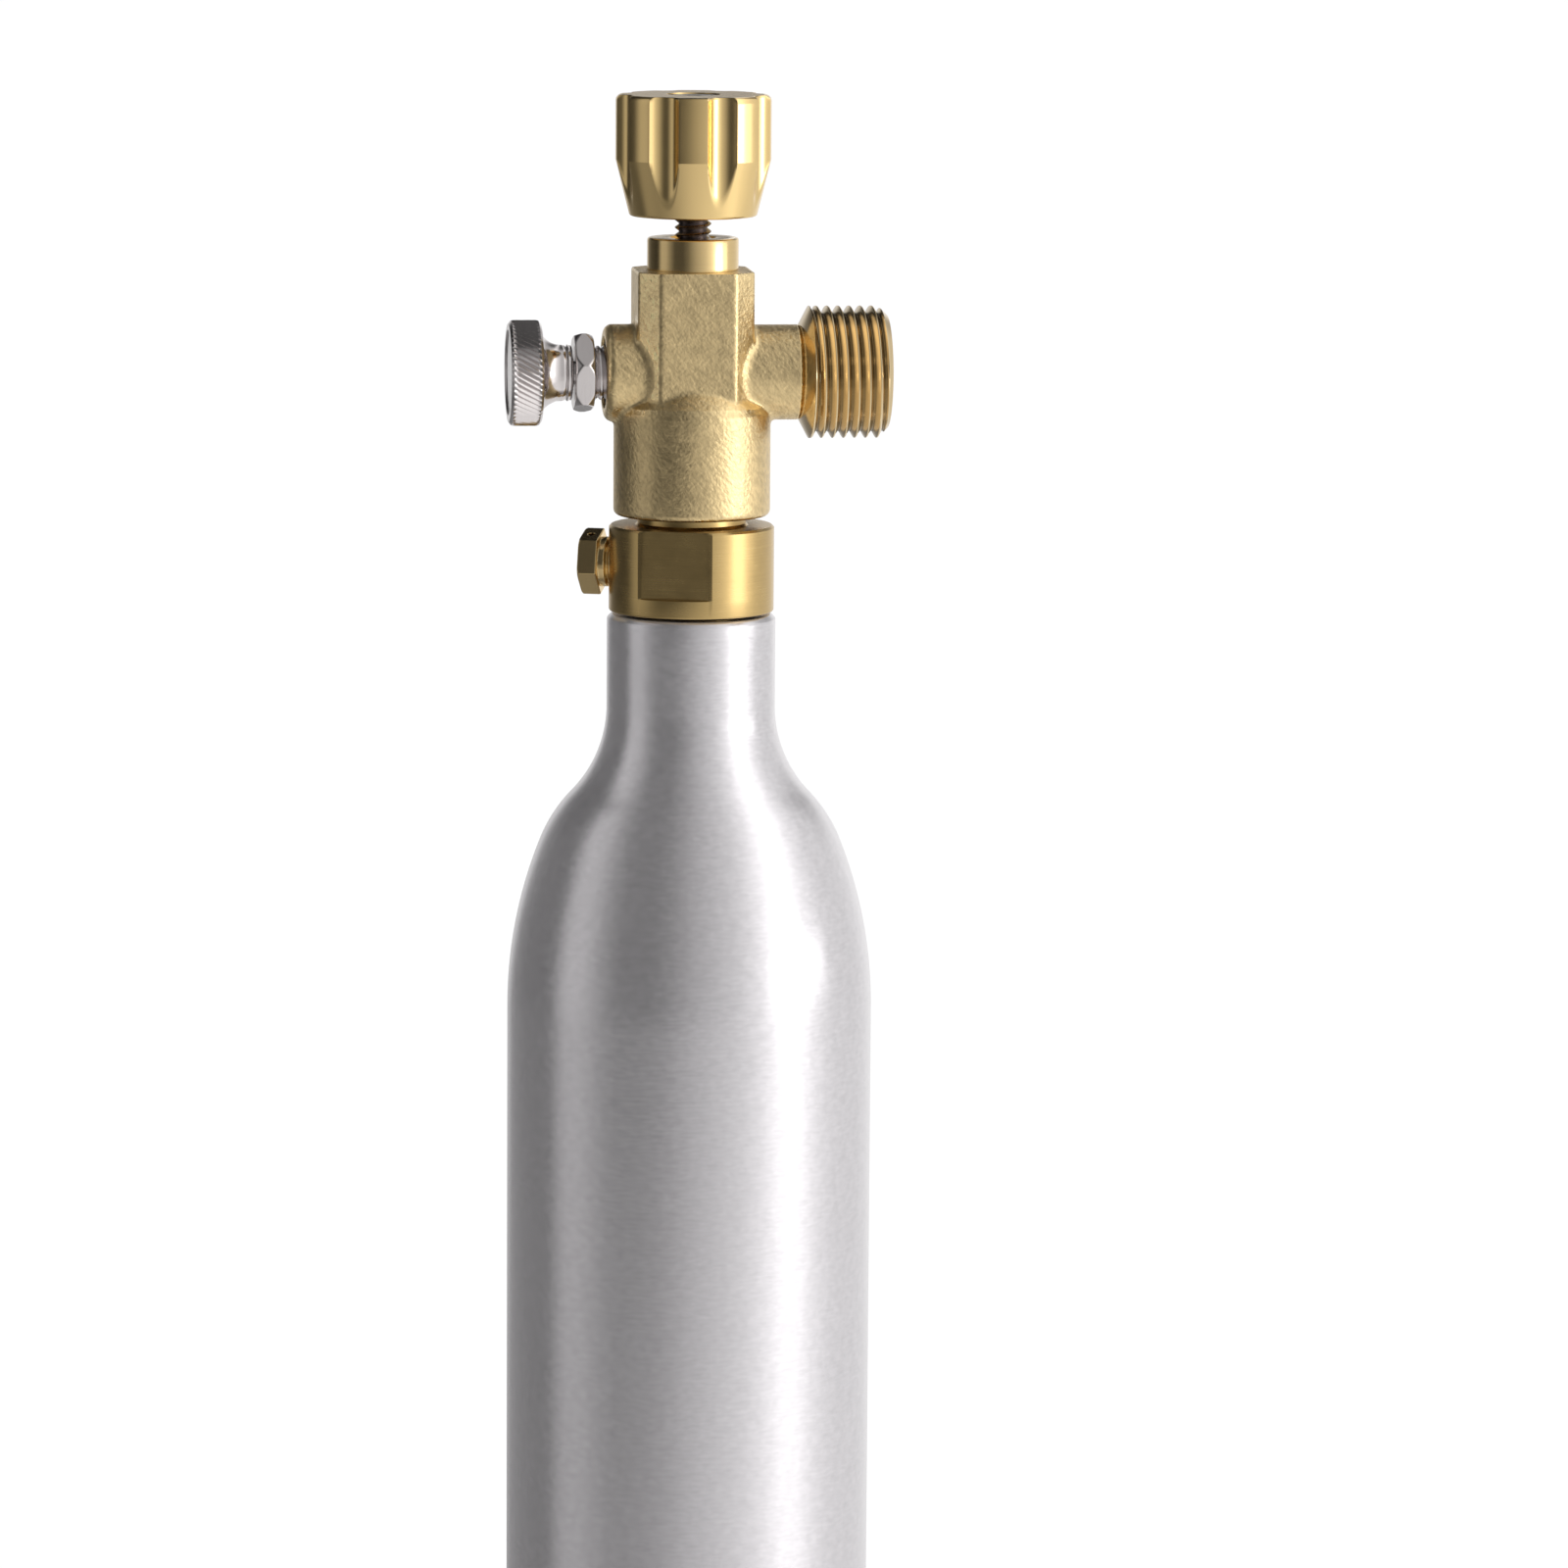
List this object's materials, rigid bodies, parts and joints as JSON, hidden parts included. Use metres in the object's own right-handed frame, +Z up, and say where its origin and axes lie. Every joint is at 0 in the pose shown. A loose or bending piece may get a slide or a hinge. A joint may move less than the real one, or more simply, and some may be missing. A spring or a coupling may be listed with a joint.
{
  "type": "CO2 cylinder with handwheel adapter",
  "caption": "Slim aluminium CO2 cylinder with a brass pin valve and a screwed-on brass adapter that has a fluted handwheel, a threaded outlet and a knurled bleed valve.",
  "frame": {"origin": "centre of the cylinder's flat base", "axes": "+Z up along the cylinder, +X along the threaded outlet, the bleed valve points along -X"},
  "size_m": [0.0619, 0.06, 0.4176],
  "materials": {
    "cylinder": "satin, fine drawn lines along the length",
    "valve_brass": "bright machined",
    "forged_brass": "matte, sandblasted forging",
    "polished_brass": "polished",
    "nickel": "nickel plate over brass",
    "steel": "plain steel",
    "dark_steel": "blackened steel",
    "copper": "soft copper",
    "rubber": "matte black",
    "nylon": "off-white nylon"
  },
  "bodies": {
    "cylinder": {"cylinder_shell": "cylinder", "neck_o_ring": "rubber", "valve_body": "valve_brass", "valve_spring": "steel", "valve_spring_retainer": "valve_brass", "burst_plug": "valve_brass", "burst_disc": "nickel", "burst_disc_gasket": "copper"},
    "pin": {"valve_pin": "steel", "valve_pin_seal": "nylon"},
    "adapter_seat": {"adapter_seal_washer": "nylon"},
    "adapter": {"adapter_body": "forged_brass", "gland_nut": "valve_brass", "spindle_o_ring": "rubber", "bleed_body": "nickel", "bleed_body_seal": "rubber", "bleed_stem_o_ring": "rubber"},
    "pusher": {"push_pin": "valve_brass"},
    "handwheel": {"spindle": "dark_steel", "handwheel": "polished_brass", "handwheel_screw": "steel"},
    "bleed_tip": {"bleed_seat_pad": "nylon"},
    "bleed_knob": {"bleed_knob": "nickel"}
  },
  "joints": [
    {"name": "pin_travel", "type": "slide", "parent": "cylinder", "child": "pin", "axis": [0, 0, 1], "range_m": [-0.002, 0], "deforming": ["valve_spring"]},
    {"name": "adapter_lift", "type": "slide", "parent": "cylinder", "child": "adapter_seat", "axis": [0, 0, 1], "range_m": [0, 0.016]},
    {"name": "adapter_turn", "type": "hinge", "parent": "adapter_seat", "child": "adapter", "pos_m": [0, 0, 0.333], "axis": [0, 0, 1], "range_deg": [0, 1440]},
    {"name": "spindle_travel", "type": "slide", "parent": "adapter", "child": "pusher", "axis": [0, 0, 1], "range_m": [-0.002, 0]},
    {"name": "handwheel_turn", "type": "hinge", "parent": "pusher", "child": "handwheel", "pos_m": [0, 0, 0.4], "axis": [0, 0, 1], "range_deg": [-576, 0]},
    {"name": "bleed_travel", "type": "slide", "parent": "adapter", "child": "bleed_tip", "axis": [-1, 0, 0], "range_m": [0, 0.0015]},
    {"name": "bleed_turn", "type": "hinge", "parent": "bleed_tip", "child": "bleed_knob", "pos_m": [0, 0, 0.37242], "axis": [-1, 0, 0], "range_deg": [0, 540]}
  ],
  "couplings": [
    {"joint": "adapter_lift", "follows": "adapter_turn", "m_per_rad": 0.00063662},
    {"joint": "spindle_travel", "follows": "handwheel_turn", "m_per_rad": 0.00019894},
    {"joint": "pin_travel", "follows": "handwheel_turn", "m_per_rad": 0.00019894},
    {"joint": "bleed_travel", "follows": "bleed_turn", "m_per_rad": 0.00015915}
  ]
}
